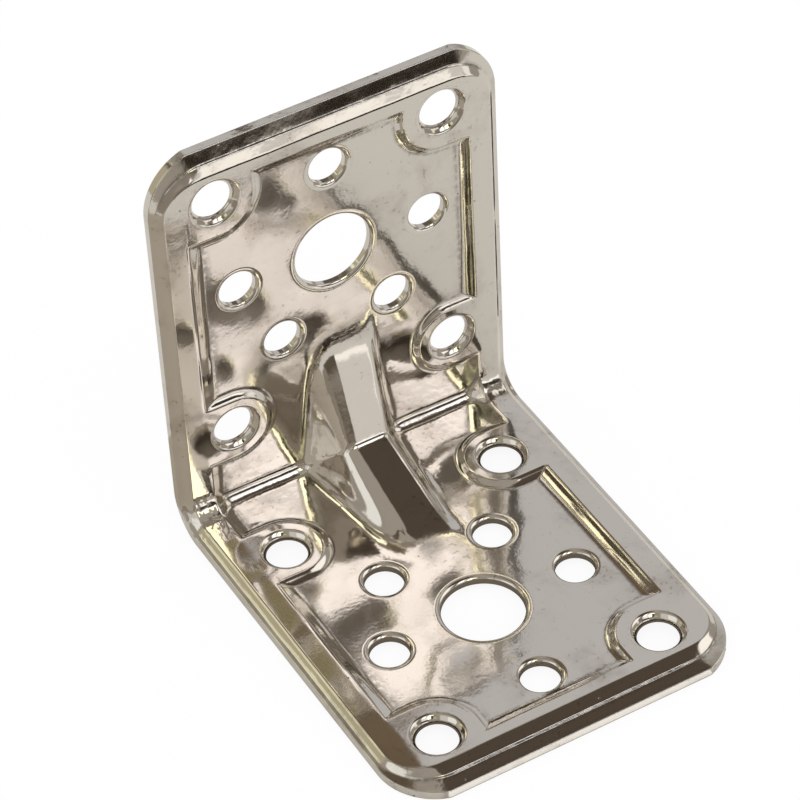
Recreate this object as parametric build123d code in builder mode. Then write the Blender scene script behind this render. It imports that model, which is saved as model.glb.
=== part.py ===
"""Angle bracket pressed from one sheet of bright-plated steel.

The bracket lies as it is used: one flange rests on the XY plane and reaches towards -Y,
the other stands on the XZ plane and reaches up. The bend runs along X at the origin.
Both flanges are alike, so one is modelled up to the mitre plane of the bend and mirrored.
A height is always measured from the plane that the flange rests on, and a distance along
a flange from the plane that the other flange rests on.
"""

import os
from math import atan2, cos, pi, radians, sin, tan

from build123d import *

# Sheet and overall size
sheet = 1.0
flange_length = 50.0
bracket_width = 41.0
bend_radius = 4.5  # outside of the bend

# Lip: the cut edge all round, which rests on the wall and tips up a little inwards
lip_side = 0.55
lip_far = 1.35
lip_rise = 0.25
lip_land = 0.2
edge_corner = 7.0
edge_overrun = 0.35  # the far edge cuts the corner curve off, which leaves a slight kink

# Wall: the roll from the lip up to the flat raised band
wall_side = 0.65
wall_far = 1.45
wall_foot_corner = 5.8
wall_top_corner = 4.2
wall_steps = 3

# Flat raised band, and the step from it down to the recessed panel
band_side = 2.4
band_far = 1.6
band_rise = 0.5
step_side = 2.0
step_far = 1.0
step_corner = 0.9
panel_lift = 0.55  # gap between the back of the panel and the wall behind it
panel_bend = 3.0  # bend of the panel's part, where it is pressed sharper into the corner
panel_bend_over = 1.4  # how far the sharper part leans out over the band's bend

# Corner holes, countersunk from the inside, and the raised bosses that carry them
corner_hole_radius = 2.25
corner_sink_radius = 2.85
corner_inset_side = 7.1
corner_inset_far = 6.6
corner_near = 11.9
boss_far_radius = 5.6
boss_near_radius = 5.1
boss_slope = 1.25

# Middle holes: a large one with five small ones on a ring round it
large_hole_radius = 4.5
large_hole_inset = 19.7
small_hole_radius = 2.15
ring_radius = 11.4
ring_angles = (90.0, 0.0, 180.0, -54.0, -126.0)
edge_break = 0.25  # round the middle holes, on the inside

# Stiffening gusset pressed inwards across the middle of the bend
gusset_foot_at = 18.0
gusset_apex = 6.4
gusset_half_width_at_apex = 2.6
gusset_half_width_at_foot = 3.4
gusset_flare = 26.0
gusset_round = 1.1
gusset_depth = 7.0

# Worked out from the sizes above
half_width = bracket_width / 2
lip_foot_height = sheet + lip_rise
panel_height = panel_lift + sheet
band_height = panel_height + band_rise
panel_half_width = half_width - lip_side - wall_side - band_side - step_side
panel_reach = flange_length - lip_far - wall_far - band_far - step_far
corner_across = half_width - corner_inset_side
corner_far = flange_length - corner_inset_far
large_hole_at = flange_length - large_hole_inset
side_wall_slope = atan2(band_height - lip_foot_height, wall_side)
far_wall_slope = atan2(band_height - lip_foot_height, wall_far)
step_slope = atan2(band_rise, step_side)
clear = 8.0  # how far the tool solids reach past the sheet

mitre = Plane(origin=(0, 0, 0), x_dir=(1, 0, 0), z_dir=(0, 1, 1))
bend_start = Plane(origin=(0, -bend_radius, 0), x_dir=(1, 0, 0), z_dir=(0, -1, 0))
bend_axis = Axis((0, -bend_radius, bend_radius), (1, 0, 0))
panel_bend_start = Plane(origin=(0, -panel_bend, 0), x_dir=(1, 0, 0), z_dir=(0, -1, 0))
panel_bend_axis = Axis((0, -panel_bend, panel_bend), (1, 0, 0))


def part_way_between(start, end, part_way):
    return start + (end - start) * part_way


def pressed_height(start, end, part_way):
    """Height up a pressed step, which leaves and arrives level along half a cosine wave."""
    return part_way_between(start, end, (1 - cos(pi * part_way)) / 2)


def wall_outlines(drop):
    """Height, half width, reach and corner radius of the wall's outlines, foot to top.

    drop is 0 for the inside face. For the underside it is the sheet's thickness, and the
    outlines are drawn in so that the sheet keeps that thickness up the slope.
    """
    side_shift = drop * tan(side_wall_slope / 2)
    far_shift = drop * tan(far_wall_slope / 2)
    for step in range(wall_steps + 1):
        part_way = step / wall_steps
        yield (
            pressed_height(lip_foot_height, band_height, part_way) - drop,
            half_width - lip_side - wall_side * part_way - side_shift,
            flange_length - lip_far - wall_far * part_way - far_shift,
            part_way_between(wall_foot_corner, wall_top_corner, part_way) - side_shift,
        )


def step_outlines(drop):
    """Height, half width, reach and boss radii of the panel's outlines, foot to crest."""
    shift = drop * tan(step_slope / 2)
    for part_way in (0, 1):
        yield (
            part_way_between(panel_height, band_height, part_way) - drop,
            panel_half_width + step_side * part_way + shift,
            panel_reach + step_far * part_way + shift,
            boss_near_radius - boss_slope * part_way - shift,
            boss_far_radius - boss_slope * part_way - shift,
        )


def strip(height, half, reach, corner=0.0):
    """The flange from the start of its bend to the given reach, with rounded far corners."""
    with BuildSketch(Plane.XY.offset(height)) as outline:
        with Locations((0, -bend_radius)):
            Rectangle(2 * half, reach - bend_radius, align=(Align.CENTER, Align.MAX))
        if corner:
            fillet(outline.vertices().group_by(Axis.Y)[0], corner)
    return outline.sketch


def cut_edge(height, inset):
    """The outline of the blank, whose corner curves are cut off by the far edge."""
    uncut_reach = flange_length - inset + edge_overrun
    with BuildSketch(Plane.XY.offset(height)) as outline:
        add(strip(0, half_width - inset, uncut_reach, edge_corner - inset))
        add(strip(0, half_width, flange_length - inset), mode=Mode.INTERSECT)
    return outline.sketch


def panel_outline(height, half, reach, near_radius, far_radius):
    """The recessed panel, which goes round the bosses of the corner holes."""
    beside = (Align.MIN, Align.CENTER)
    beyond = (Align.CENTER, Align.MAX)
    with BuildSketch(Plane.XY.offset(height)) as outline:
        with Locations((0, -bend_radius)):
            Rectangle(half, reach - bend_radius, align=(Align.MIN, Align.MAX))
        with Locations((corner_across, -corner_near)):
            Circle(near_radius, mode=Mode.SUBTRACT)
            Rectangle(half, 2 * near_radius, align=beside, mode=Mode.SUBTRACT)
        with Locations((corner_across, -corner_far)):
            Circle(far_radius, mode=Mode.SUBTRACT)
            Rectangle(half, 2 * far_radius, align=beside, mode=Mode.SUBTRACT)
            Rectangle(2 * far_radius, reach, align=beyond, mode=Mode.SUBTRACT)
        turns = outline.vertices().filter_by(lambda point: turns_off_edge(point, half, reach))
        fillet(turns, step_corner)
        mirror(about=Plane.YZ)
    return outline.sketch


def turns_off_edge(point, half, reach):
    """True where the panel's outline leaves its side or its far edge to go round a boss."""
    on_side = abs(point.X - half) < 1e-4 and point.Y < -bend_radius - 1e-4
    on_far_edge = abs(point.Y + reach) < 1e-4 and point.X > 1e-4
    return on_side or on_far_edge


def section_points(drop, base):
    """Half of the section across the bracket, from the middle out to the cut edge."""
    points = [(0, panel_height - drop)]
    points += [(half, height) for height, half, *_ in step_outlines(drop)]
    points += [(half, height) for height, half, *_ in reversed(list(wall_outlines(drop)))]
    if drop:
        points += [(half_width - lip_land, 0), (half_width + clear, 0), (half_width + clear, base)]
    else:
        points += [(half_width, sheet), (half_width, base)]
    return points + [(0, base)]


def section_face(plane, points):
    """A face across the bracket, from the points of its right half."""
    with BuildSketch(plane) as section:
        with BuildLine():
            Polyline(*points)
            mirror(about=Plane.YZ)
        make_face()
    return section.sketch


def panel_bend_points(drop):
    """Half of the section of what is pressed away where the panel turns up at the bend."""
    outline = [(half, height) for height, half, *_ in step_outlines(drop)]
    brim = outline[-1][0] + panel_bend_over
    return [(0, outline[0][1])] + outline + [(brim, panel_bend), (0, panel_bend)]


def skin_block(drop, base):
    """All that lies between one face of the sheet and the base height, without the gusset.

    The flat flange is a stack of lofts with the recess taken out, and the section across
    it is then turned through half of the bend. The panel's part of the bend is sharper.
    """
    walls = list(wall_outlines(drop))
    with BuildPart() as block:
        if drop:
            add(strip(base, half_width + clear, flange_length + clear))
            extrude(amount=-base)
            add(cut_edge(0, lip_land))
        else:
            add(cut_edge(base, 0))
            extrude(amount=sheet - base)
            add(cut_edge(sheet, 0))
        add(strip(*walls[0]))
        loft(ruled=True)
        for wall in walls:
            add(strip(*wall))
        loft(ruled=True)
        for step in step_outlines(drop):
            add(panel_outline(*step))
        loft(ruled=True, mode=Mode.SUBTRACT)
        add(section_face(bend_start, section_points(drop, base)))
        revolve(axis=bend_axis, revolution_arc=45)
        turned_up = section_face(panel_bend_start, panel_bend_points(drop))
        extrude(turned_up, amount=bend_radius - panel_bend, mode=Mode.SUBTRACT)
        revolve(turned_up, axis=panel_bend_axis, revolution_arc=45, mode=Mode.SUBTRACT)
    return block.part


def gusset_block(drop):
    """The gusset up to one face of the sheet: a sloping crest with flared flanks."""
    run = gusset_foot_at - gusset_apex
    rise = gusset_apex - panel_height
    length = (run**2 + rise**2) ** 0.5
    normal = Vector(0, -rise, run).normalized()
    foot = Vector(0, -gusset_foot_at, panel_height) - normal * drop
    crest = Plane(origin=foot, x_dir=(1, 0, 0), z_dir=normal)
    shift = drop * tan(radians(90 - gusset_flare) / 2)
    start = -gusset_round
    end = length + clear / 2
    narrowing = (gusset_half_width_at_foot - gusset_half_width_at_apex) / length
    start_half = gusset_half_width_at_foot - narrowing * start - shift
    end_half = gusset_half_width_at_foot - narrowing * end - shift
    with BuildPart() as block:
        with BuildSketch(crest):
            with BuildLine():
                Polyline(
                    (start_half, start),
                    (end_half, end),
                    (-end_half, end),
                    (-start_half, start),
                    close=True,
                )
            make_face()
        extrude(amount=-gusset_depth, taper=-gusset_flare)
        if not drop:
            top = block.faces().filter_by(crest).sort_by(Axis.Z)[-1]
            fillet(top.edges().sort_by(SortBy.LENGTH)[-2:], gusset_round)
    return block.part


with BuildPart() as flange:
    add(skin_block(0, 0))
    add(gusset_block(0))
    split(bisect_by=mitre, keep=Keep.BOTTOM)
    add(skin_block(sheet, -clear), mode=Mode.SUBTRACT)
    add(gusset_block(sheet), mode=Mode.SUBTRACT)

with BuildPart() as angle_bracket:
    add(flange.part)
    with Locations(Plane.XY.offset(band_height)):
        for along in (corner_near, corner_far):
            with Locations((-corner_across, -along), (corner_across, -along)):
                CounterSinkHole(corner_hole_radius, corner_sink_radius, clear, 90)
    with Locations(Plane.XY.offset(panel_height)):
        with Locations((0, -large_hole_at)):
            CounterSinkHole(large_hole_radius, large_hole_radius + edge_break, clear, 90)
            for angle in ring_angles:
                across = ring_radius * cos(radians(angle))
                along = ring_radius * sin(radians(angle))
                with Locations((across, -along)):
                    CounterSinkHole(small_hole_radius, small_hole_radius + edge_break, clear, 90)
    mirror(about=mitre)

angle_bracket.part.label = "angle_bracket"
os.makedirs("parts", exist_ok=True)
export_step(angle_bracket.part, "parts/angle_bracket.step")
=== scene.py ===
"""Bright-plated pressed steel angle bracket, with its finish and a plain studio.

The bracket lies as it is used: the base flange on the floor towards -Y, the upright going
up, the bend along X at the origin. The two flanges are alike, so one is made up to the
mitre plane of the bend and mirrored. A place on a flange is (across, along, height) in
millimetres: across the bracket, along from the other flange's wall, up from its own wall.
"""

import bpy
import numpy as np
from mathutils import Matrix, Vector
from mathutils.geometry import delaunay_2d_cdt


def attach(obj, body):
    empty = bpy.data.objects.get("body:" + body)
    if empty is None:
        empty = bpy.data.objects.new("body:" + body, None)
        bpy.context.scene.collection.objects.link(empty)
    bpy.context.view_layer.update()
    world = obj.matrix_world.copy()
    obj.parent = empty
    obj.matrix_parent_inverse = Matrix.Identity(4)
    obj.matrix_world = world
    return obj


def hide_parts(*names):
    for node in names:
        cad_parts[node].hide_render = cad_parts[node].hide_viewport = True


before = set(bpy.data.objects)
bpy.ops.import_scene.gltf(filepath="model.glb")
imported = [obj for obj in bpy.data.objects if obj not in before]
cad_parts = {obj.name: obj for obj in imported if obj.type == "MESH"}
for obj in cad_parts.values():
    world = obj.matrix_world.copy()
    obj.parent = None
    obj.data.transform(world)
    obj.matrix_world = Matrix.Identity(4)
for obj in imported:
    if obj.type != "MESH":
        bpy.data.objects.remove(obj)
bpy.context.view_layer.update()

bl_info = {
    "name": "Pressed angle bracket",
    "version": (1, 0, 0),
    "blender": (4, 5, 0),
    "location": "View3D > Sidebar > Bracket",
    "description": "Makes a bright-plated pressed angle bracket and a studio for it",
    "category": "Object",
}

MM = 0.001

# Lip, wall, raised band and recess of the pressed rim, in millimetres, from the edge inwards.
# The land is the flat foot of the lip, the fold is the small step at the far wall's foot, and
# the edge's values are the blank's corner curve and the roll and burr of its cut edge.
LIP_SIDE, LIP_FAR, LIP_LAND = 0.55, 1.6, 0.2
LIP_RISE, LIP_RISE_FAR = 0.25, 0.38
FOLD_RISE, FOLD_WIDTH = 0.19, 0.07
EDGE_CORNER, EDGE_OVERRUN, EDGE_ROLL, EDGE_BURR = 7.0, 0.35, 0.12, 0.05
WALL_SIDE, WALL_FAR = 0.65, 1.4
WALL_FOOT_CORNER, WALL_TOP_CORNER, BAND_CORNER = 5.8, 4.2, 3.6
BAND_SIDE, BAND_FAR, BAND_RISE = 2.3, 1.25, 0.5
STEP_SIDE, STEP_FAR, PANEL_LIFT = 2.2, 1.6, 0.55
STEP_STEEPEST, TURN_ROUND = 0.72, 0.25
BAND_LEAN = np.tan(np.radians(5.0))
PANEL_BEND = 3.0
FOOT_ROUND, TOP_ROUND, LEAN_ROUND = 0.13, 0.34, 0.5
# How far in the rim's mesh goes on the sides and at the far edge: inside face, underside
RIM_INNER_SIDE, RIM_INNER_FAR = (1.9, 2.3), (3.4, 3.75)
CORNER_CENTRE = (14.3, 43.0)

# Places of the holes on a flange, and the bosses round the corner holes
CORNER_INSET_SIDE, CORNER_INSET_FAR, CORNER_NEAR = 7.1, 6.6, 11.9
BOSS_FAR, BOSS_NEAR, BOSS_SLOPE = 5.7, 5.2, 1.35
LARGE_INSET, RING_RADIUS = 19.7, 11.4
RING_ANGLES = (90.0, 0.0, 180.0, -54.0, -126.0)

# Mouths of the holes: the countersink's roundings, the dished ring round a plain hole, and
# the margins of flat metal that belong to a hole's own mesh
SINK_ROUND, BORE_ROUND, BREAK_ROUND = 0.25, 0.4, 0.06
DISH_WIDTH, DISH_DEPTH, MOUTH = 0.6, 0.06, 0.22
DISH_ROUNDS = (0.18, 0.2, 0.1)
MARGIN, DISH_MARGIN = 0.3, 0.2

# Gusset: crest from foot to apex, half widths and flare of its flanks; how its two crests
# round into each other and it into the sheet; and the rounding of its crest's edges, which
# goes over from the right one to the left one between two places across
GUSSET_FOOT, GUSSET_APEX = 18.0, 6.4
GUSSET_HALF_APEX, GUSSET_HALF_FOOT = 2.6, 3.4
GUSSET_FLARE = np.radians(26.0)
MITRE_ROUND, BLEND_ROUND = 0.45, 1.7
EDGE_LEFT_APEX, EDGE_LEFT_FOOT, EDGE_RIGHT, EDGE_UNDER = 1.9, 3.8, 0.8, 0.15
EDGE_RIGHT_FROM, EDGE_LEFT_FROM = 0.6, -1.8

# Lines of painted shade, darker colour at the step's foot, in the far fold and along the brink:
# where each runs and how wide it is. At the step's foot that is a share of its climb, and at the
# far edge millimetres out from the wall's foot and in from the brink.
STEP_LINE, FOLD_LINE, BRINK_LINE = (0.1, 0.1), (0.05, 0.13), (0.22, 0.12)

# How hard the press worked the metal beside the gusset, in the bend, up the rim's walls and
# in the fold at their foot, and how far that reaches in millimetres
DRAWN, BENT, ROLLED, FOLDED = 0.75, 0.6, 0.32, 0.5
DRAWN_WIDTH, BENT_REACH, BEND_END, FOLD_REACH = 5.0, (9.0, 4.0), 3.0, 0.3

# How fine the mesh is: columns round half the rim, rows up it, and segments of the holes
BEND_COLUMNS, SIDE_COLUMNS, CORNER_COLUMNS, FAR_COLUMNS = 15, 66, 45, 25
FOOT_ROWS, TOP_ROWS, ROUND_STEPS = 7, 9, 4
HOLE_SEGMENTS = {"corner": 88, "large": 120, "small": 72}
# Cells of the face: the largest, then degrees turned in a cell and the smallest, by face
CELL = 0.8
INSIDE_FINENESS, UNDER_FINENESS = (6, 0.12), (12, 0.24)
MITRE_SPACING, HOLE_GAP, SPARE_SHARE = 0.25, 0.12, 0.45
WELD = 2e-4


def ramp(x, start, end):
    """0 at the start, 1 at the end, straight between them and level beyond."""
    return np.clip((x - start) / (end - start), 0, 1)


def ridge(x, middle, width):
    """1 in the middle, falling off softly over a width on each side."""
    return np.exp(-(((x - middle) / width) ** 2))


def hinge(x, width):
    """A bend in a line: 0 before it and rising one to one after, rounded over width each side."""
    part = ramp(x, -width, width)
    return np.where(x < width, 2 * width * (part**3 - part**4 / 2), x)


def round_max(a, b, width):
    """The larger of two heights, with the corner between them filled over width."""
    gap = np.clip(width - np.abs(a - b), 0, None) / width
    return np.maximum(a, b) + gap**3 * width / 6


def round_min(a, b, width):
    """The smaller of two heights, with the corner between them worn off over width."""
    return -round_max(-a, -b, width)


def outside_strip(across, along, half, reach, corner):
    """Distance outside a strip with rounded far corners, and below 0 inside it."""
    side = np.abs(across) - (half - corner)
    far = along - (reach - corner)
    beyond = np.hypot(np.maximum(side, 0), np.maximum(far, 0))
    return beyond + np.minimum(np.maximum(side, far), 0) - corner


def halve(low, high, goes_on, rounds=34):
    """Closes in on where goes_on turns false between low and high."""
    for _ in range(rounds):
        middle = (low + high) / 2
        on = goes_on(middle)
        low = np.where(on, middle, low)
        high = np.where(on, high, middle)
    return (low + high) / 2


def rounded_path(corners, cuts, steps):
    """Points and directions along a line of straight runs whose corners are rounded."""
    corners = np.array(corners, float)
    points, ways = [corners[0]], [corners[1] - corners[0]]
    for index, cut in enumerate(cuts, start=1):
        before = corners[index] - corners[index - 1]
        after = corners[index + 1] - corners[index]
        before /= np.linalg.norm(before)
        after /= np.linalg.norm(after)
        start = corners[index] - before * cut
        end = corners[index] + after * cut
        for part in np.linspace(0, 1, steps + 1):
            low = start + (corners[index] - start) * part
            high = corners[index] + (end - corners[index]) * part
            points.append(low + (high - low) * part)
            ways.append(before + (after - before) * part)
    points.append(corners[-1])
    ways.append(corners[-1] - corners[-2])
    ways = np.array(ways)
    return np.array(points), ways / np.linalg.norm(ways, axis=1)[:, None]


class Form:
    """The sizes that a user can change, in millimetres, and what follows from them."""

    def __init__(self, sizes):
        self.sheet = sizes.sheet / MM
        self.length = sizes.flange_length / MM
        self.half = sizes.width / MM / 2
        self.bend = sizes.bend_radius / MM
        self.corner_hole = sizes.corner_hole / MM / 2
        self.corner_sink = sizes.corner_sink / MM / 2
        self.large_hole = sizes.large_hole / MM / 2
        self.small_hole = sizes.small_hole / MM / 2
        self.panel = PANEL_LIFT + self.sheet
        self.band = self.panel + BAND_RISE
        self.lip_foot = self.sheet + LIP_RISE
        self.panel_half = self.half - LIP_SIDE - WALL_SIDE - BAND_SIDE - STEP_SIDE
        self.panel_reach = self.length - LIP_FAR - WALL_FAR - BAND_FAR - STEP_FAR
        self.corner_across = self.half - CORNER_INSET_SIDE
        self.corner_far = self.length - CORNER_INSET_FAR
        self.large_at = self.length - LARGE_INSET

    def holes(self):
        """Centre and kind of each hole of a flange."""
        for along in (CORNER_NEAR, self.corner_far):
            for side in (-1, 1):
                yield side * self.corner_across, along, "corner"
        yield 0.0, self.large_at, "large"
        for angle in np.radians(RING_ANGLES):
            across, along = RING_RADIUS * np.cos(angle), RING_RADIUS * np.sin(angle)
            yield across, self.large_at + along, "small"

    def hole_path(self, kind):
        """Radius and height along a hole's wall, from the inside face to the underside."""
        if kind == "corner":
            sink, wall = self.corner_sink, self.corner_hole
            corners = [(sink + MARGIN, 0), (sink, 0), (wall, wall - sink)]
            cuts = (SINK_ROUND, BORE_ROUND)
        else:
            wall = self.large_hole if kind == "large" else self.small_hole
            dish = wall + DISH_WIDTH
            corners = [(dish + DISH_MARGIN, 0), (dish, 0), (wall + MOUTH, -DISH_DEPTH)]
            corners.append((wall, -MOUTH - DISH_DEPTH))
            cuts = DISH_ROUNDS
        corners += [(wall, -self.sheet), (wall + MARGIN, -self.sheet)]
        return rounded_path(corners, (*cuts, BREAK_ROUND), ROUND_STEPS)


class Skin:
    """One face of the sheet: the inside face, or the underside a sheet's thickness lower."""

    def __init__(self, form, drop):
        self.form, self.drop = form, drop
        rise = form.band - form.lip_foot
        side_shift = drop * np.tan(np.arctan2(rise, WALL_SIDE) / 2)
        far_shift = drop * np.tan(np.arctan2(rise, WALL_FAR) / 2)
        side, far = LIP_SIDE + side_shift, LIP_FAR + far_shift
        top_side, top_far = side + WALL_SIDE, far + WALL_FAR
        inner = 1 if drop else 0
        ends = RIM_INNER_SIDE[inner], RIM_INNER_FAR[inner]
        self.start = LIP_LAND if drop else EDGE_ROLL
        self.rings = [
            (form.half - side, form.length - far, WALL_FOOT_CORNER - side_shift),
            (form.half - top_side, form.length - top_far, WALL_TOP_CORNER - side_shift),
            (form.half - ends[0], form.length - ends[1], BAND_CORNER),
        ]
        self.shift = drop * np.tan(np.arctan2(BAND_RISE, STEP_SIDE) / 2)

    def band_climb(self, across, along):
        """How far up the step to the raised band and bosses: 0 at its foot, 1 at its crest."""
        form = self.form
        wide = np.abs(across)
        part = round_max(
            (wide - form.panel_half - self.shift) / STEP_SIDE,
            (along - form.panel_reach - self.shift) / STEP_FAR,
            TURN_ROUND,
        )
        beside = np.maximum(form.corner_across - wide, 0)
        near = np.hypot(beside, along - CORNER_NEAR)
        far = np.hypot(beside, np.maximum(form.corner_far - along, 0))
        for distance, foot in ((near, BOSS_NEAR), (far, BOSS_FAR)):
            part = round_max(part, (foot - self.shift - distance) / BOSS_SLOPE, TURN_ROUND)
        return part

    def band_share(self, across, along):
        """How much a place belongs to the raised band and bosses: 1 there, 0 on the panel."""
        part = np.clip(self.band_climb(across, along), 0, 1)
        if self.drop:
            return part**2 * (3 - 2 * part)
        hollow, crest = part**2 / STEP_STEEPEST, 1 - (1 - part) ** 2 / (1 - STEP_STEEPEST)
        return np.where(part < STEP_STEEPEST, hollow, crest)

    def flat_height(self, across, along):
        """Height of this face above the wall, away from the rim, the bend and the gusset."""
        share = self.band_share(across, along)
        return self.form.band - BAND_RISE * (1 - share) - self.lean(across) - self.drop

    def lean(self, across):
        """How far the side bands drop outwards from where they leave the recess."""
        crest = self.form.panel_half + STEP_SIDE
        return BAND_LEAN * hinge(np.abs(across) - crest, LEAN_ROUND)

    def shell_depth(self, across, along, height):
        """How far below the flanges and the bend of this face a point lies."""
        form = self.form
        reach = np.maximum(form.bend, np.maximum(along, height))
        share = self.band_share(across, reach)
        bend = form.bend + (PANEL_BEND - form.bend) * (1 - share)
        level = bend - np.hypot(bend - along, bend - height)
        level = np.where(np.maximum(along, height) < bend, level, np.minimum(along, height))
        return form.band - BAND_RISE * (1 - share) - self.lean(across) - self.drop - level

    def gusset_depth(self, across, along, height):
        """How far below the gusset's crest and flanks a point lies."""
        panel = self.form.panel
        run, rise = GUSSET_FOOT - GUSSET_APEX, GUSSET_APEX - panel
        length = np.hypot(run, rise)
        sin, cos = rise / length, run / length
        base = (GUSSET_FOOT - along) * sin + (panel - height) * cos
        upright = (GUSSET_FOOT - height) * sin + (panel - along) * cos
        crest = round_max(base, upright, MITRE_ROUND)
        up_base = (GUSSET_FOOT - along) * cos - (panel - height) * sin
        up_upright = (GUSSET_FOOT - height) * cos - (panel - along) * sin
        climb = round_min(up_base, up_upright, MITRE_ROUND) / length
        half = GUSSET_HALF_FOOT + (GUSSET_HALF_APEX - GUSSET_HALF_FOOT) * climb
        flank = (half + crest * np.tan(GUSSET_FLARE) - np.abs(across)) * np.cos(GUSSET_FLARE)
        left = EDGE_LEFT_FOOT + (EDGE_LEFT_APEX - EDGE_LEFT_FOOT) * climb
        leftness = ramp(across, EDGE_RIGHT_FROM, EDGE_LEFT_FROM)
        edge = EDGE_UNDER if self.drop else EDGE_RIGHT + (left - EDGE_RIGHT) * leftness
        return round_min(crest - self.drop, flank - self.drop, edge)

    def depth(self, across, along, height):
        """How far below this face a point lies; the two flanges are alike in it."""
        gusset = self.gusset_depth(across, along, height)
        shell = self.shell_depth(across, along, height)
        return round_max(gusset, shell, BLEND_ROUND + 0.5 * self.drop)

    def surface(self, across, along):
        """Height of this face over a point of the flange."""
        low, high = np.full_like(along, -1.0), along + 0.5
        return halve(low, high, lambda height: self.depth(across, along, height) > 0)

    def mitre(self, across):
        """How far along the flange this face meets the mitre plane."""
        low, high = np.full_like(across, 0.5), np.full_like(across, 8.0)
        return halve(low, high, lambda place: self.depth(across, place, place) > 0)

    def outward(self, points):
        """Unit normals out of the metal at points (across, along, height) on this face."""
        step = 1e-4
        slopes = []
        for axis in range(3):
            nudge = np.zeros(3)
            nudge[axis] = step
            slopes.append(self.depth(*(points + nudge).T) - self.depth(*(points - nudge).T))
        normals = np.array(slopes).T * (1 if self.drop else -1)
        return normals / np.linalg.norm(normals, axis=1)[:, None]


def outside_edge(form, across, along):
    """Distance outside the blank, whose corner curves are cut off by its far edge."""
    curve = outside_strip(across, along, form.half, form.length + EDGE_OVERRUN, EDGE_CORNER)
    return np.maximum(curve, along - form.length)


def rim_columns(form):
    """Where the columns of the rim's mesh start.

    Each has its place on the edge, the way in, the turn of the bend in degrees, and how far
    round the corner it is: 0 on the side, 1 on the far edge and -1 in the bend.
    """
    columns = []
    middle_across, middle_along = CORNER_CENTRE
    for turn in np.linspace(45, 3, BEND_COLUMNS):
        columns.append((form.half, form.bend, -1.0, 0.0, turn, -1.0))
    for along in np.linspace(form.bend, middle_along, SIDE_COLUMNS)[:-1]:
        columns.append((form.half, along, -1.0, 0.0, 0.0, 0.0))
    for angle in np.linspace(0, 90, CORNER_COLUMNS):
        cos, sin = np.cos(np.radians(angle)), np.sin(np.radians(angle))

        def within(r, cos=cos, sin=sin):
            return outside_edge(form, middle_across + r * cos, middle_along + r * sin) < 0

        out = halve(np.zeros(1), np.full(1, 12.0), within)[0]
        across, along = middle_across + out * cos, middle_along + out * sin
        columns.append((across, along, -cos, -sin, 0.0, angle / 90))
    for across in np.linspace(middle_across, 0, FAR_COLUMNS)[1:]:
        columns.append((across, form.length, 0.0, -1.0, 0.0, 1.0))
    right = np.array(columns)
    left = right[-2::-1].copy()
    left[:, 0] *= -1
    left[:, 2] *= -1
    return np.vstack([right, left])


def rim_place(form, columns, inset, height):
    """Points at an inset from the edge and a height, on each column of the rim."""
    across, along, in_across, in_along, turn, _ = columns.T
    across = across + in_across * inset
    along = along + in_along * inset
    bent, turn = turn > 0, np.radians(turn)
    radius = form.bend - height
    along = np.where(bent, form.bend - radius * np.sin(turn), along)
    height = np.where(bent, form.bend - radius * np.cos(turn), height)
    return np.stack([across, along, height], axis=1)


def rim_insets(columns, ring):
    """Distance from the edge to a ring, measured in along each column."""
    across, along, in_across, in_along, _, _ = columns.T

    def outside(inset):
        return outside_strip(across + in_across * inset, along + in_along * inset, *ring) > 0

    return halve(np.zeros(len(columns)), np.full(len(columns), 9.0), outside)


def rim_rows(skin, columns):
    """The rim of one face from its edge to the flat band, row by row."""
    form = skin.form
    foot, top, end = (rim_insets(columns, ring) for ring in skin.rings)
    first = skin.start
    far = np.clip(columns[:, 5], 0, 1)
    # The wall's top is rounded as far as the wall and the band leave room
    top_round = np.minimum(TOP_ROUND, np.minimum(0.85 * (end - top), 0.38 * (top - foot)))
    lip_from = first if skin.drop else 0.0
    lip_rise = LIP_RISE + (LIP_RISE_FAR - LIP_RISE) * far
    lip_slope = lip_rise / (foot - lip_from)
    fold = FOLD_RISE * far
    wall_slope = (form.band - form.sheet - lip_rise - fold) / (top - foot)
    insets = [np.full(len(columns), first)]
    for part in (0.35, 0.7):
        insets.append(first + (foot - FOOT_ROUND - first) * part)
    for part in np.linspace(-1, 1, FOOT_ROWS):
        insets.append(foot + FOOT_ROUND * part)
    for part in (0.33, 0.67):
        insets.append(foot + FOOT_ROUND + (top - top_round - foot - FOOT_ROUND) * part)
    for part in np.linspace(-1, 1, TOP_ROWS):
        insets.append(top + top_round * part)
    insets.append(end)
    rows = []
    for inset in insets:
        height = form.sheet - skin.drop + lip_slope * (inset - lip_from)
        height = height + (wall_slope - lip_slope) * hinge(inset - foot, FOOT_ROUND)
        height = height + fold * ramp(inset - foot, -FOLD_WIDTH, FOLD_WIDTH)
        height = height - wall_slope * hinge(inset - top, top_round)
        risen = ramp(height + skin.drop, form.lip_foot, form.band)
        lean = skin.lean(columns[:, 0] + columns[:, 2] * inset)
        rows.append(rim_place(form, columns, inset, height - lean * risen))
    return np.array(rows)


def edge_rows(form, columns, top_row):
    """The cut edge, from the inside face over a small roll and down to the land."""
    start = form.sheet + EDGE_ROLL * 0.3
    corners = [(EDGE_ROLL, start), (0, start - EDGE_ROLL * 0.2), (0, 0), (LIP_LAND, 0)]
    path, _ = rounded_path(corners, (EDGE_ROLL * 0.8, EDGE_BURR), ROUND_STEPS + 1)
    rows = [top_row]
    for inset, height in path[1:]:
        rows.append(rim_place(form, columns, inset, np.full(len(columns), height)))
    return np.array(rows)


def grid_normals(rows):
    """Unit normals of a grid of points, from the way its rows and columns run."""
    up_rows, along_rows = np.gradient(rows, axis=(0, 1))
    normals = np.cross(along_rows, up_rows)
    return normals / np.linalg.norm(normals, axis=2)[:, :, None]


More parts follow.
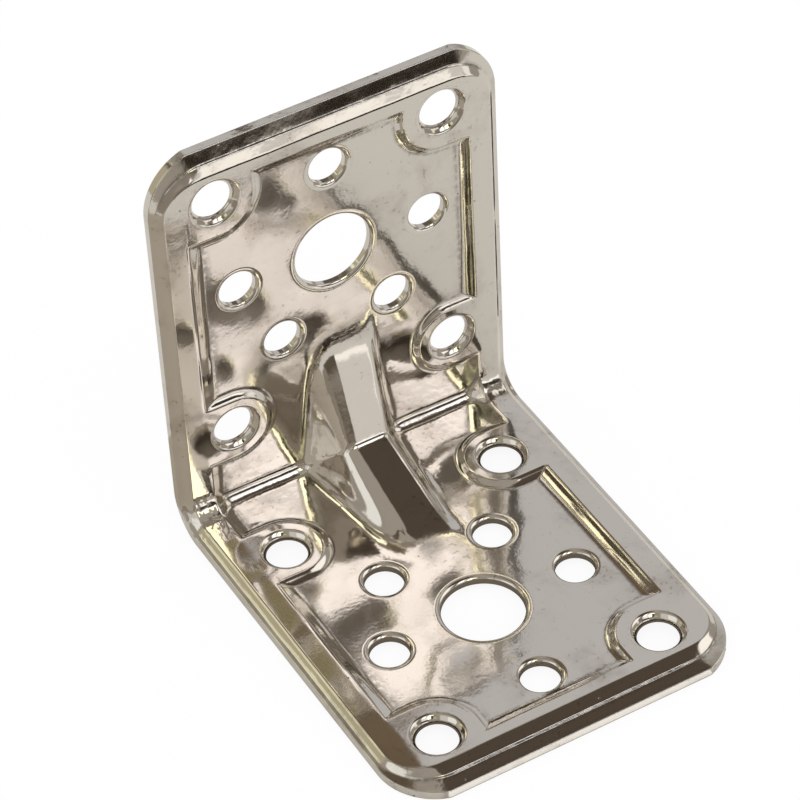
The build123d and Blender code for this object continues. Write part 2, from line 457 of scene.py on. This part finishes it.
def shade_lines(form, points):
    """How deep in a fold each place of a flange lies, as the share of painted shade it gets there:
    1 in the fold's foot, 0 on open metal.
    """
    across, along, height = points.T
    reach = np.maximum(along, height)
    skin = Skin(form, 0.0)
    step = ridge(skin.band_climb(across, reach), *STEP_LINE)
    fold = ridge(outside_strip(across, reach, *skin.rings[0]), *FOLD_LINE)
    fold = fold * ramp(reach, form.length - 5, form.length - 3)
    brink = 0.8 * ridge(form.length - reach, *BRINK_LINE)
    return np.max([step, fold, brink], axis=0)


def working(form, points):
    """How hard each place of a flange was worked by the press: 1 most, 0 on the open panel."""
    across, along, height = points.T
    wide, reach = np.abs(across), np.maximum(along, height)
    skin = Skin(form, 0.0)
    # The steps round the panel and the bosses, most towards the far edge
    share = skin.band_share(across, reach)
    towards_far = np.maximum(ramp(reach, form.panel_reach - 9, form.panel_reach - 2), 0.2)
    step = 4 * share * (1 - share) * towards_far
    # The panel beside the gusset, which drew its metal from there
    half = GUSSET_HALF_FOOT + 0.26 * np.clip(GUSSET_FOOT - reach, 0, None)
    beside = np.hypot(np.clip(wide - half, 0, None), np.clip(reach - GUSSET_FOOT, 0, None))
    drawn = DRAWN * ramp(beside, DRAWN_WIDTH, 0) ** 1.5 * np.clip(0.45 + 0.3 * beside, 0, 1)
    # The bend, and most of all its two ends
    bend = BENT * ramp(reach, *BENT_REACH)
    ends = ramp(reach, form.bend + BEND_END, form.bend)
    ends = ends * ramp(wide, form.panel_half, form.panel_half + 2)
    # The walls of the rim, and the fold along the far ones
    fold = ridge(outside_strip(across, reach, *skin.rings[0]), 0, FOLD_REACH)
    fold = fold * ramp(reach, form.length - 4, form.length - 2)
    wall = ramp(outside_strip(across, reach, *skin.rings[1]), -0.36, 0.24)
    rim = wall * (ROLLED + FOLDED * fold)
    return np.max([step, drawn, bend, ends, rim], axis=0)


class Patches:
    """Patches of surface gathered into one mesh, with a normal for each corner of a face."""

    def __init__(self):
        self.points, self.normals, self.faces, self.count = [], [], [], 0

    def add(self, points, normals, faces):
        """Takes in triangles, each turned so that it faces the way its normals point."""
        points, normals, faces = (np.asarray(part) for part in (points, normals, faces))
        corners = points[faces]
        across = np.cross(corners[:, 1] - corners[:, 0], corners[:, 2] - corners[:, 0])
        turned = np.einsum("ij,ij->i", across, normals[faces].mean(axis=1)) < 0
        faces = np.where(turned[:, None], faces[:, ::-1], faces)
        self.points.append(points)
        self.normals.append(normals)
        self.faces.append(faces + self.count)
        self.count += len(points)

    def add_grid(self, rows, normals, closed=False):
        """Takes in a grid of points, whose last column joins the first if it is closed."""
        height, width = rows.shape[:2]
        index = np.arange(height * width).reshape(height, width)
        if closed:
            index = np.hstack([index, index[:, :1]])
        quads = np.stack(
            [index[:-1, :-1], index[1:, :-1], index[1:, 1:], index[:-1, 1:]], axis=-1
        ).reshape(-1, 4)
        triangles = np.vstack([quads[:, [0, 1, 2]], quads[:, [0, 2, 3]]])
        self.add(rows.reshape(-1, 3), normals.reshape(-1, 3), triangles)


def spread_points(skin, form, most_turn, smallest):
    """Points over a face, closer together where it curves more, each with its cell's size."""
    cell = CELL
    across, along = np.meshgrid(
        np.arange(-form.half, form.half, cell), np.arange(cell, form.length, cell)
    )
    corners = np.stack([across.ravel(), along.ravel()], axis=1)
    offsets = np.stack(np.meshgrid((0, 0.5, 1), (0, 0.5, 1)), axis=-1).reshape(-1, 2)
    corner_offsets = [0, 2, 6, 8]
    kept = []
    while len(corners):
        samples = corners[:, None, :] + offsets[None] * cell
        flat = samples.reshape(-1, 2)
        height = skin.surface(flat[:, 0], flat[:, 1])
        normals = skin.outward(np.column_stack([flat, height])).reshape(len(corners), 9, 3)
        mean = normals.mean(axis=1)
        mean /= np.linalg.norm(mean, axis=1)[:, None]
        least = np.einsum("ijk,ik->ij", normals, mean).min(axis=1)
        split = (least < np.cos(most_turn / 2)) & (cell / 2 > smallest)
        whole = samples[~split][:, corner_offsets].reshape(-1, 2)
        kept.append(np.column_stack([whole, np.full(len(whole), cell)]))
        half = cell / 2
        steps = np.array([(0, 0), (half, 0), (0, half), (half, half)])
        corners = (corners[split][:, None, :] + steps[None]).reshape(-1, 2)
        cell = half
    points = np.vstack(kept)
    order = np.lexsort((points[:, 2], points[:, 1].round(4), points[:, 0].round(4)))
    points = points[order]
    keys = points[:, :2].round(4)
    first = np.r_[True, (keys[1:] != keys[:-1]).any(axis=1)]
    return points[first]


def face_patch(patches, skin, form, rim_end, fineness):
    """The face inside the rim, with its holes, the recess, the gusset and half the bend."""
    degrees, smallest = fineness
    inner = skin.rings[2]
    radius = {kind: skin_hole_radius(form, skin, kind) for kind in HOLE_SEGMENTS}
    left, right = rim_end[-1, 0], rim_end[0, 0]
    count = int((right - left) / MITRE_SPACING)
    mitre_across = np.linspace(left, right, count + 1)[1:-1]
    mitre_along = skin.mitre(mitre_across)
    loops = [np.vstack([rim_end[:, :2], np.column_stack([mitre_across, mitre_along])])]
    points = spread_points(skin, form, np.radians(degrees), smallest)
    spare = points[:, 2] * SPARE_SHARE
    keep = outside_strip(points[:, 0], points[:, 1], *inner) < -spare
    keep &= points[:, 1] > skin.mitre(points[:, 0]) + spare
    for across, along, kind in form.holes():
        turn = np.linspace(0, 2 * np.pi, HOLE_SEGMENTS[kind], endpoint=False)
        ring = radius[kind]
        loops.append(
            np.column_stack([across + ring * np.cos(turn), along + ring * np.sin(turn)])
        )
        away = np.hypot(points[:, 0] - across, points[:, 1] - along)
        keep &= away > ring + np.maximum(spare, HOLE_GAP)
    points = points[keep, :2]
    edges, start = [], 0
    for loop in loops:
        size = len(loop)
        edges += [(start + i, start + (i + 1) % size) for i in range(size)]
        start += size
    flat = np.vstack(loops + [points])
    result = delaunay_2d_cdt([Vector(p) for p in flat], edges, [], 0, 1e-6, False)
    flat = np.array([tuple(p) for p in result[0]])
    faces = np.array([face for face in result[2] if len(face) == 3])
    # Triangles past the mitre, outside the rim and in the holes are left out
    middle = flat[faces].mean(axis=1)
    keep = middle[:, 1] > skin.mitre(middle[:, 0])
    keep &= outside_strip(middle[:, 0], middle[:, 1], *inner) < 1e-4
    for across, along, kind in form.holes():
        keep &= np.hypot(middle[:, 0] - across, middle[:, 1] - along) > radius[kind] * 0.995
    faces = faces[keep]
    solid = np.column_stack([flat, skin.surface(flat[:, 0], flat[:, 1])])
    patches.add(solid, skin.outward(solid), faces)


def skin_hole_radius(form, skin, kind):
    """Radius at which a face stops and the wall of a hole begins."""
    path, _ = form.hole_path(kind)
    return path[-1, 0] if skin.drop else path[0, 0]


def flat_slope(skin, place, axis):
    """Slope of a face at points of the flange, across or along."""
    step = 1e-3
    nudge = np.zeros(2)
    nudge[axis] = step
    rise = skin.flat_height(*(place + nudge).T) - skin.flat_height(*(place - nudge).T)
    return rise / (2 * step)


def hole_patch(patches, skin, form, across, along, kind):
    """A hole's wall, from the inside face down to the underside."""
    path, ways = form.hole_path(kind)
    turn = np.linspace(0, 2 * np.pi, HOLE_SEGMENTS[kind], endpoint=False)
    rows, normals = [], []
    for (radius, drop), (out, up) in zip(path, ways):
        place = np.column_stack([across + radius * np.cos(turn), along + radius * np.sin(turn)])
        height = skin.flat_height(place[:, 0], place[:, 1]) + drop
        rows.append(np.column_stack([place, height]))
        slope = np.column_stack([flat_slope(skin, place, axis) for axis in (0, 1)])
        lean = np.column_stack([np.cos(turn), np.sin(turn)]) * up + out * slope
        normals.append(np.column_stack([lean, np.full(len(turn), -out)]))
    patches.add_grid(np.array(rows), np.array(normals), closed=True)


def pressed_flange(form):
    """Patches of one flange, from the mitre plane to its far edge."""
    patches = Patches()
    columns = rim_columns(form)
    inside, under = Skin(form, 0.0), Skin(form, form.sheet)
    top_row = rim_rows(inside, columns)[0]
    for skin, facing, fineness in ((inside, 1, INSIDE_FINENESS), (under, -1, UNDER_FINENESS)):
        rows = rim_rows(skin, columns)
        normals = grid_normals(rows)
        normals *= facing * np.sign(normals[-1, len(columns) // 2, 2])
        patches.add_grid(rows, normals)
        face_patch(patches, skin, form, rows[-1], fineness)
    rows = edge_rows(form, columns, top_row)
    normals = grid_normals(rows)
    normals *= np.sign(normals[len(rows) // 2, BEND_COLUMNS, 0])
    patches.add_grid(rows, normals)
    for across, along, kind in form.holes():
        hole_patch(patches, inside, form, across, along, kind)
    return patches


def bracket_mesh(form):
    """The whole bracket as one mesh: a flange, and the same flange over the mitre plane."""
    patches = pressed_flange(form)
    points = np.vstack(patches.points)
    normals = np.vstack(patches.normals)
    faces = np.vstack(patches.faces)
    base = np.array([[1, 0, 0], [0, -1, 0], [0, 0, 1]])
    upright = np.array([[1, 0, 0], [0, 0, 1], [0, -1, 0]])
    count = len(points)
    all_points = np.vstack([points @ base, points @ upright])
    all_normals = np.vstack([normals @ base, normals @ upright])
    all_faces = np.vstack([faces[:, ::-1], faces + count])
    # The first mark says where shade is painted along the folds and the brink
    marks = {"fold_shade": shade_lines(form, points), "worked": working(form, points)}
    keys = (all_points / WELD).round().astype(np.int64)
    _, first, shared = np.unique(keys, axis=0, return_index=True, return_inverse=True)
    shared = shared.reshape(-1)
    welded = shared[all_faces]
    whole = (
        (welded[:, 0] != welded[:, 1])
        & (welded[:, 1] != welded[:, 2])
        & (welded[:, 2] != welded[:, 0])
    )
    welded, all_faces = welded[whole], all_faces[whole]
    mesh = bpy.data.meshes.new("angle_bracket_pressed")
    mesh.vertices.add(len(first))
    mesh.vertices.foreach_set("co", (all_points[first] * MM).ravel())
    mesh.loops.add(welded.size)
    mesh.loops.foreach_set("vertex_index", welded.ravel().astype(np.int32))
    mesh.polygons.add(len(welded))
    mesh.polygons.foreach_set("loop_start", np.arange(0, welded.size, 3, dtype=np.int32))
    mesh.polygons.foreach_set("use_smooth", np.ones(len(welded), dtype=bool))
    mesh.update(calc_edges=True)
    mesh.validate()
    corner_normals = all_normals[all_faces.ravel()]
    corner_normals /= np.linalg.norm(corner_normals, axis=1)[:, None]
    if len(mesh.loops) != len(corner_normals):
        raise RuntimeError("the bracket's mesh lost faces when it was checked")
    mesh.normals_split_custom_set(corner_normals.tolist())
    for name, values in marks.items():
        mark = mesh.attributes.new(name, "FLOAT", "POINT")
        mark.data.foreach_set("value", np.tile(values, 2)[first].astype(np.float32))
    return mesh


# What the plating shows, in millimetres. Noise: size, detail and roughness. The real grain
# of rolled sheet is finer than 0.4 mm, and it is drawn that coarse so that it shows.
PATTERNS = {
    "wave": (6.0, 1.0, 0.4),
    "crumple": (1.5, 2.0, 0.5),
    "grain": (0.4, 1.0, 0.5),
    "cloud": (6.0, 3.0, 0.6),
    "speck": (0.55, 2.0, 0.6),
}
WAVE_DEPTH, WAVE_DEPTH_WORKED = 0.09, 0.26
CRUMPLE_DEPTH, CRUMPLE_DEPTH_WORKED = 0.006, 0.09
GRAIN_DEPTH = 0.0022
PIT_SPACING, PIT_FLOOR, PIT_EDGE, PIT_DEPTH = 1.7, 0.068, 0.153, 0.012

# Sockets of the colour mix node, which share their names with others
SHARE, FIRST, SECOND, MIXED = 0, 6, 7, 2


def linear(colour, strength=1.0):
    """Linear red, green, blue and alpha of an sRGB hex colour, lit to a strength."""
    parts = [int(colour[i : i + 2], 16) / 255 for i in (1, 3, 5)]
    plain = [p / 12.92 if p <= 0.04045 else ((p + 0.055) / 1.055) ** 2.4 for p in parts]
    return (*(p * strength for p in plain), 1.0)


def node(tree, kind, feeds=None, **settings):
    """Adds a node of a kind with its settings, and what feeds its inputs.

    That is a value, an output, or another node, which gives its first output.
    """
    made = tree.nodes.new("ShaderNode" + kind)
    for name, value in settings.items():
        setattr(made, name, value)
    for name, value in (feeds or {}).items():
        if isinstance(value, bpy.types.Node):
            value = value.outputs[0]
        if isinstance(value, bpy.types.NodeSocket):
            tree.links.new(value, made.inputs[name])
        else:
            made.inputs[name].default_value = value
    return made


def empty_material(name):
    """A material whose node tree has nothing in it yet, and that tree."""
    material = bpy.data.materials.new(name)
    material.use_nodes = True
    material.node_tree.nodes.clear()
    return material, material.node_tree


def bright_nickel(finish):
    """Bright nickel plating on cold-rolled steel that was pressed after it was cut."""
    # The plating levels the steel to a warm mirror, so the eye reads the sheet's waves, its
    # folds and its pits in how they bend what is mirrored, and sees brown where it is stained.
    # Shade is painted into the colour as dark lines along the folds and the brink.
    material, tree = empty_material("bright_nickel_plated_steel")
    place = node(tree, "TexCoord").outputs["Object"]
    worked = node(tree, "Attribute", attribute_name="worked").outputs["Fac"]
    # Where shade is painted along the folds and the brink
    fold_shade = node(tree, "Attribute", attribute_name="fold_shade").outputs["Fac"]
    noise = {}
    for name, (size, detail, roughness) in PATTERNS.items():
        feeds = {"Vector": place, "Scale": 1 / (size * MM)}
        feeds |= {"Detail": detail, "Roughness": roughness}
        noise[name] = node(tree, "TexNoise", feeds)

    # Slow unevenness of the sheet, deeper where the press drew the metal most
    feeds = {0: worked, 1: WAVE_DEPTH_WORKED * MM, 2: WAVE_DEPTH * MM}
    depth = node(tree, "Math", feeds, operation="MULTIPLY_ADD")
    normal = node(tree, "Bump", {"Height": noise["wave"], "Distance": depth})
    # Crumpling where the metal was worked hardest: the steps, the bend's ends and the rim
    hardest = node(tree, "Math", {0: worked, 1: worked}, operation="MULTIPLY")
    feeds = {0: hardest, 1: CRUMPLE_DEPTH_WORKED * MM, 2: CRUMPLE_DEPTH * MM}
    depth = node(tree, "Math", feeds, operation="MULTIPLY_ADD")
    feeds = {"Height": noise["crumple"], "Distance": depth, "Normal": normal}
    normal = node(tree, "Bump", feeds)
    # Fine grain of the rolled sheet, which the plating follows
    feeds = {"Height": noise["grain"], "Distance": GRAIN_DEPTH * MM, "Normal": normal}
    normal = node(tree, "Bump", feeds)
    # Small pits, in about one cell of five
    cell = node(tree, "TexVoronoi", {"Vector": place, "Scale": 1 / (PIT_SPACING * MM)})
    chance = node(tree, "SeparateColor", {0: cell.outputs["Color"]})
    feeds = {"Value": chance, "From Min": 0.8, "From Max": 0.82}
    picked = node(tree, "MapRange", feeds, interpolation_type="SMOOTHSTEP")
    feeds = {"Value": cell.outputs["Distance"]}
    feeds |= {"From Min": PIT_FLOOR / PIT_SPACING, "From Max": PIT_EDGE / PIT_SPACING}
    away = node(tree, "MapRange", feeds, interpolation_type="SMOOTHSTEP")
    near = node(tree, "Math", {0: 1.0, 1: away}, operation="SUBTRACT")
    pit = node(tree, "Math", {0: near, 1: picked}, operation="MULTIPLY")
    unpitted = node(tree, "Math", {0: 1.0, 1: pit}, operation="SUBTRACT")
    feeds = {"Height": unpitted, "Distance": PIT_DEPTH * MM, "Normal": normal}
    normal = node(tree, "Bump", feeds)

    # Brownish clouds of handling and storage, speckled at their edges
    feeds = {"Value": noise["cloud"], "From Min": 0.5, "From Max": 0.75}
    cloudy = node(tree, "MapRange", feeds, interpolation_type="SMOOTHSTEP")
    feeds = {0: noise["cloud"], 1: 0.5, 2: noise["speck"]}
    mottle = node(tree, "Math", feeds, operation="MULTIPLY_ADD")
    feeds = {"Value": mottle, "From Min": 0.9, "From Max": 1.0}
    dots = node(tree, "MapRange", feeds, interpolation_type="SMOOTHSTEP")
    veil = node(tree, "Math", {0: cloudy, 1: 0.3}, operation="MULTIPLY")
    stained = node(tree, "Math", {0: dots, 1: 0.35, 2: veil}, operation="MULTIPLY_ADD")
    feeds = {SHARE: stained, FIRST: linear(finish.metal), SECOND: linear(finish.stain)}
    stains = node(tree, "Mix", feeds, data_type="RGBA")
    # Painted shade along the folds and the brink, made patchy, and darker colour in the pits
    feeds = {"Value": noise["speck"], "From Min": 0.25, "From Max": 0.6}
    patchy = node(tree, "MapRange", feeds, interpolation_type="SMOOTHSTEP")
    shaded_folds = node(tree, "Math", {0: fold_shade, 1: patchy}, operation="MULTIPLY")
    shaded_folds = node(tree, "Math", {0: shaded_folds, 1: 0.5}, operation="MULTIPLY")
    pitted = node(tree, "Math", {0: pit, 1: 0.6}, operation="MULTIPLY")
    fold_shade_and_dark_pits = node(tree, "Math", {0: shaded_folds, 1: pitted}, operation="MAXIMUM")
    feeds = {SHARE: fold_shade_and_dark_pits, FIRST: stains.outputs[MIXED], SECOND: linear(finish.fold_shade_and_dark_pits)}
    colour = node(tree, "Mix", feeds, data_type="RGBA").outputs[MIXED]

    # Stains, the painted shade of the folds and the dark pits dull the mirror
    feeds = {0: cloudy, 1: 0.08, 2: finish.roughness}
    dulled = node(tree, "Math", feeds, operation="MULTIPLY_ADD")
    dulled = node(tree, "Math", {0: fold_shade_and_dark_pits, 1: 0.2, 2: dulled}, operation="MULTIPLY_ADD")
    feeds = {"Base Color": colour, "Metallic": 1.0, "Roughness": dulled, "Normal": normal}
    node(tree, "OutputMaterial", {"Surface": node(tree, "BsdfPrincipled", feeds)})
    return material


class BracketSizes(bpy.types.PropertyGroup):
    """Sizes of the bracket, in metres"""

    sheet: bpy.props.FloatProperty(
        name="Sheet", description="Thickness of the sheet", default=0.001, unit="LENGTH"
    )
    flange_length: bpy.props.FloatProperty(
        name="Flange length",
        description="Length of each flange from the corner",
        default=0.05,
        unit="LENGTH",
    )
    width: bpy.props.FloatProperty(
        name="Width", description="Width along the bend", default=0.041, unit="LENGTH"
    )
    bend_radius: bpy.props.FloatProperty(
        name="Bend radius", description="Outside radius of the bend", default=0.0045, unit="LENGTH"
    )
    corner_hole: bpy.props.FloatProperty(
        name="Corner hole", description="Bore of a corner hole", default=0.0045, unit="LENGTH"
    )
    corner_sink: bpy.props.FloatProperty(
        name="Countersink", description="Mouth of a corner hole", default=0.0057, unit="LENGTH"
    )
    large_hole: bpy.props.FloatProperty(
        name="Large hole", description="Bore of the middle hole", default=0.009, unit="LENGTH"
    )
    small_hole: bpy.props.FloatProperty(
        name="Small hole", description="Bore of a small hole", default=0.0043, unit="LENGTH"
    )


class BracketFinish(bpy.types.PropertyGroup):
    """Colours and gloss of the plating"""

    metal: bpy.props.StringProperty(
        name="Metal", description="sRGB hex colour of the plating", default="#D4CEC6"
    )
    stain: bpy.props.StringProperty(
        name="Stain", description="sRGB hex colour of the stains on it", default="#8C7F70"
    )
    # Colour of the shade painted along the folds and the brink, and of the darker pits
    fold_shade_and_dark_pits: bpy.props.StringProperty(
        name="Grime", description="sRGB hex colour of the dirt in the folds", default="#2B221A"
    )
    roughness: bpy.props.FloatProperty(
        name="Roughness", description="Softness of its reflections", default=0.075, subtype="FACTOR"
    )


class BRACKET_OT_press(bpy.types.Operator):
    """Makes the pressed bracket and plates it"""

    bl_idname = "bracket.press"
    bl_label = "Press bracket"

    def execute(self, context):
        mesh = bracket_mesh(Form(context.scene.bracket_sizes))
        piece = bpy.data.objects.new("angle_bracket_pressed", mesh)
        context.scene.collection.objects.link(piece)
        mesh.materials.append(bright_nickel(context.scene.bracket_finish))
        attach(piece, "root")
        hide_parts("angle_bracket")
        return {"FINISHED"}


# Camera fitted to the photograph's view: turn and shift from the bracket's place to the
# camera's, in radians and millimetres, and focal length and side of the picture in pixels
VIEW_TURN = (2.2465055, -0.6300561, 0.2180461)
VIEW_SHIFT = (-6.478, 5.554, 443.319)
VIEW_FOCAL = 4022.15
FRAME_SIZE = 800


def view_matrix():
    """The camera's place, from the turn and shift that take the bracket to its view."""
    turn = Vector(VIEW_TURN)
    to_view = Matrix.Rotation(turn.length, 3, turn.normalized())
    flip = Matrix(((1, 0, 0), (0, -1, 0), (0, 0, -1)))
    turned = (flip @ to_view).transposed()
    place = -(to_view.transposed() @ Vector(VIEW_SHIFT)) * MM
    return Matrix.Translation(place) @ turned.to_4x4()


# The room that the plating mirrors: its general colour, then soft patches laid over one
# another. Each patch: azimuth from and to, elevation from and to, in degrees, with azimuth 0
# towards -Y and 90 towards +X; soft edge; colour; strength.
ROOM_COLOUR = "#ADA89F"
ROOM_PATCHES = (
    (-180, 180, -90, -3, 5, "#AFA99F", 1.0),
    (-75, -44, 10, 52, 6, "#E6E4E0", 1.0),
    (-180, 180, 58, 92, 6, "#B3ADA4", 1.0),
    (42, 136, 57, 80, 5, "#5B5045", 1.0),
    (-180, -148, 46, 92, 6, "#6A5D4D", 1.0),
    (118, 182, 5, 56, 6, "#D6D6D7", 1.0),
    (154, 184, 46, 62, 6, "#796955", 1.0),
    (-182, -170, 5, 40, 6, "#D6D6D7", 1.0),
    (-168, -144, -40, 34, 4, "#4C4336", 1.0),
    (-144, -122, -10, 36, 4, "#C8C1A6", 1.0),
    (-150, -138, 34, 41, 3, "#F6F4D8", 1.3),
    (-138, -131, 24, 30, 2, "#F7F5D0", 1.3),
    (-116, -106, -14, -4, 3, "#EFECC0", 1.3),
    (-116, -76, 14, 48, 6, "#F4F5F2", 1.25),
    (-34, -4, 33, 56, 5, "#A9AA93", 1.0),
    (-30, -8, 36, 40, 2, "#F0F2C8", 1.3),
    (-60, 13, -14, 12, 5, "#9A9287", 1.0),
    (-14, 13, -10, 0, 4, "#655C51", 1.0),
    (13, 42, -9, 5, 4, "#EFECE8", 1.0),
    (13, 42, -10.5, -4, 2, "#FFFDF8", 1.4),
    (42, 56, -9, 12, 4, "#FFFDFA", 1.2),
    (12, 33, -33, -12, 4, "#332C25", 1.0),
    (7, 36, 4, 14.5, 2, "#FFFFFF", 1.6),
    (10, 38, 30, 52, 5, "#F9F8F6", 1.25),
    (6, 40, 14.5, 32, 3, "#423C35", 1.0),
    (38, 56, 19, 56, 4, "#938D84", 1.0),
    (57, 95, 22, 56, 5, "#F4F2EE", 1.6),
    (19, 37, 37, 60, 3, "#FAFAFF", 1.75),
    (20, 36, 43, 60, 3, "#FAFAFF", 2.4),
    (9, 19, 46, 54, 3, "#ABA381", 1.0),
    (-15, -4.5, 33, 57, 3, "#4A4335", 1.0),
    (-4.5, 9.5, 35, 50, 3, "#FCFBE0", 3.4),
    (-16, 9.5, 50, 58, 2, "#FCFBE0", 3.4),
    (-26, -16, 47.5, 54, 2, "#5A5344", 1.0),
)


def window(tree, value, low, high, soft):
    """1 where the value lies between low and high, falling to 0 over the soft edge."""
    off_middle = node(tree, "Math", {0: value, 1: (low + high) / 2}, operation="SUBTRACT")
    away = node(tree, "Math", {0: off_middle}, operation="ABSOLUTE")
    half = (high - low) / 2
    feeds = {"Value": away, "From Min": half + soft / 2, "From Max": half - soft / 2}
    return node(tree, "MapRange", feeds, interpolation_type="SMOOTHSTEP")


def studio_world():
    """White to the eye; for the plating, a room with a softbox, a window and darker walls."""
    world = bpy.data.worlds.new("studio")
    world.use_nodes = True
    tree = world.node_tree
    tree.nodes.clear()
    way = node(tree, "TexCoord").outputs["Generated"]
    x, y, z = node(tree, "SeparateXYZ", {0: way}).outputs
    front = node(tree, "Math", {0: y, 1: -1.0}, operation="MULTIPLY")
    turn = node(tree, "Math", {0: x, 1: front}, operation="ARCTAN2")
    azimuth = node(tree, "Math", {0: turn}, operation="DEGREES")
    lift = node(tree, "Math", {0: z}, operation="ARCSINE")
    elevation = node(tree, "Math", {0: lift}, operation="DEGREES")
    colour = linear(ROOM_COLOUR)
    for left, right, low, high, soft, shade, strength in ROOM_PATCHES:
        across = window(tree, azimuth, left, right, soft)
        up = window(tree, elevation, low, high, soft)
        inside = node(tree, "Math", {0: across, 1: up}, operation="MULTIPLY")
        feeds = {SHARE: inside, FIRST: colour, SECOND: linear(shade, strength)}
        colour = node(tree, "Mix", feeds, data_type="RGBA").outputs[MIXED]
    mirrored = node(tree, "LightPath").outputs["Is Glossy Ray"]
    plain = node(tree, "Background", {"Color": linear("#FFFFFF"), "Strength": 1.0})
    room = node(tree, "Background", {"Color": colour})
    pick = node(tree, "MixShader", {"Fac": mirrored, 1: plain, 2: room})
    node(tree, "OutputWorld", {"Surface": pick})
    return world


# Floor card: its own colour, the one that the plating mirrors, how far a camera sees it
# lifted to white, and its corners in millimetres
FLOOR_COLOUR, FLOOR_MIRRORED, FLOOR_LIFT = "#F6F6F6", "#ECEAE5", 0.9
FLOOR_CORNERS = ((-300, -100, 0), (300, -100, 0), (300, 400, 0), (-300, 400, 0))

# Cards that only the plating sees: colour, glow, and corners in millimetres
CARDS = (
    # Glowing strip in front of the far edge, seen only in the plating: a painted light line on the
    # edge
    ("#FFFFFF", 0.42, ((-16, -50.05, 0.1), (16, -50.05, 0.1), (16, -51.3, 0.1), (-16, -51.3, 0.1))),
    # Painted shadow: a grey sheet on the floor to the left, where the floor lies in shade
    ("#BDB4A6", 0.0, ((-21.5, 12, 0.2), (-21.5, -50, 0.2), (-86, -127, 0.2), (-220, 12, 0.2))),
    # Painted shadow: dark strips beside the base's and the upright's right rims, standing in for
    # contact shadow
    ("#4A433A", 0.0, ((20.9, -9, 0.2), (20.9, -46, 0.2), (21.9, -46, 0.2), (22.2, -9, 0.2))),
    ("#4A433A", 0.0, ((20.9, -0.5, 9), (20.9, -0.5, 46), (21.9, -0.5, 46), (22.2, -0.5, 9))),
    # Painted shadow: dark card under the base flange, seen through its holes in the plating
    ("#8A8074", 0.0, ((-19, -1, 0.1), (-19, -48, 0.1), (19, -48, 0.1), (19, -1, 0.1))),
    ("#6B6257", 0.0, ((10, 46, 54), (10, 46, 90), (44, 46, 90), (44, 46, 54))),
)


def white_card_floor():
    """Matt white card, of pressed paper pulp."""
    # Card has no gloss, so it shows only soft shade; a camera sees it lifted almost to white
    material, tree = empty_material("white_card_floor")
    rays = node(tree, "LightPath").outputs
    feeds = {SHARE: rays["Is Glossy Ray"]}
    feeds |= {FIRST: linear(FLOOR_COLOUR), SECOND: linear(FLOOR_MIRRORED)}
    tone = node(tree, "Mix", feeds, data_type="RGBA").outputs[MIXED]
    card = node(tree, "BsdfDiffuse", {"Color": tone})
    white = node(tree, "Emission", {"Color": linear("#FFFFFF"), "Strength": 1.01})
    feeds = {0: rays["Is Camera Ray"], 1: FLOOR_LIFT}
    seen = node(tree, "Math", feeds, operation="MULTIPLY")
    pick = node(tree, "MixShader", {"Fac": seen, 1: card, 2: white})
    node(tree, "OutputMaterial", {"Surface": pick})
    return material


def matt_card(shade, glow):
    """Matt painted card, lit from behind if it glows."""
    # Paint this matt spreads the light evenly, so the plating mirrors one plain tone
    material, tree = empty_material("matt_card")
    feeds = {"Base Color": linear(shade), "Roughness": 0.9}
    feeds |= {"Emission Color": linear(shade), "Emission Strength": glow}
    node(tree, "OutputMaterial", {"Surface": node(tree, "BsdfPrincipled", feeds)})
    return material


def flat_card(name, corners, material):
    """A flat piece with four corners, given in millimetres."""
    mesh = bpy.data.meshes.new(name)
    mesh.from_pydata([Vector(corner) * MM for corner in corners], [], [(0, 1, 2, 3)])
    mesh.materials.append(material)
    return bpy.data.objects.new(name, mesh)


def photo_camera():
    """A camera that stands where the photograph was taken from."""
    camera = bpy.data.cameras.new("camera")
    camera.sensor_width = 36.0
    camera.lens = VIEW_FOCAL / FRAME_SIZE * camera.sensor_width
    camera.clip_start = 0.01
    stand = bpy.data.objects.new("camera", camera)
    stand.matrix_world = view_matrix()
    return stand


class BRACKET_OT_stage(bpy.types.Operator):
    """Makes the floor, the cards, the room's light and the camera"""

    bl_idname = "bracket.stage"
    bl_label = "Set the stage"

    def execute(self, context):
        scene = context.scene
        floor = flat_card("floor", FLOOR_CORNERS, white_card_floor())
        scene.collection.objects.link(floor)
        for shade, glow, corners in CARDS:
            card = flat_card("card", corners, matt_card(shade, glow))
            card.visible_camera = False
            card.visible_diffuse = False
            card.visible_shadow = False
            scene.collection.objects.link(card)
        scene.world = studio_world()
        scene.camera = photo_camera()
        scene.collection.objects.link(scene.camera)
        scene.view_settings.view_transform = "Standard"
        return {"FINISHED"}


class BRACKET_PT_panel(bpy.types.Panel):
    """Lists the bracket's sizes, its finish and its two steps"""

    bl_idname = "BRACKET_PT_panel"
    bl_label = "Pressed bracket"
    bl_space_type = "VIEW_3D"
    bl_region_type = "UI"
    bl_category = "Bracket"

    def draw(self, context):
        for group in (context.scene.bracket_sizes, context.scene.bracket_finish):
            box = self.layout.box()
            for name in group.__annotations__:
                box.prop(group, name)
        self.layout.operator(BRACKET_OT_press.bl_idname)
        self.layout.operator(BRACKET_OT_stage.bl_idname)


CLASSES = (BracketSizes, BracketFinish, BRACKET_OT_press, BRACKET_OT_stage, BRACKET_PT_panel)


def register():
    for item in CLASSES:
        bpy.utils.register_class(item)
    bpy.types.Scene.bracket_sizes = bpy.props.PointerProperty(type=BracketSizes)
    bpy.types.Scene.bracket_finish = bpy.props.PointerProperty(type=BracketFinish)


def unregister():
    del bpy.types.Scene.bracket_finish
    del bpy.types.Scene.bracket_sizes
    for item in reversed(CLASSES):
        bpy.utils.unregister_class(item)


def main():
    register()
    bpy.ops.bracket.press()
    bpy.ops.bracket.stage()


if __name__ == "__main__":
    main()
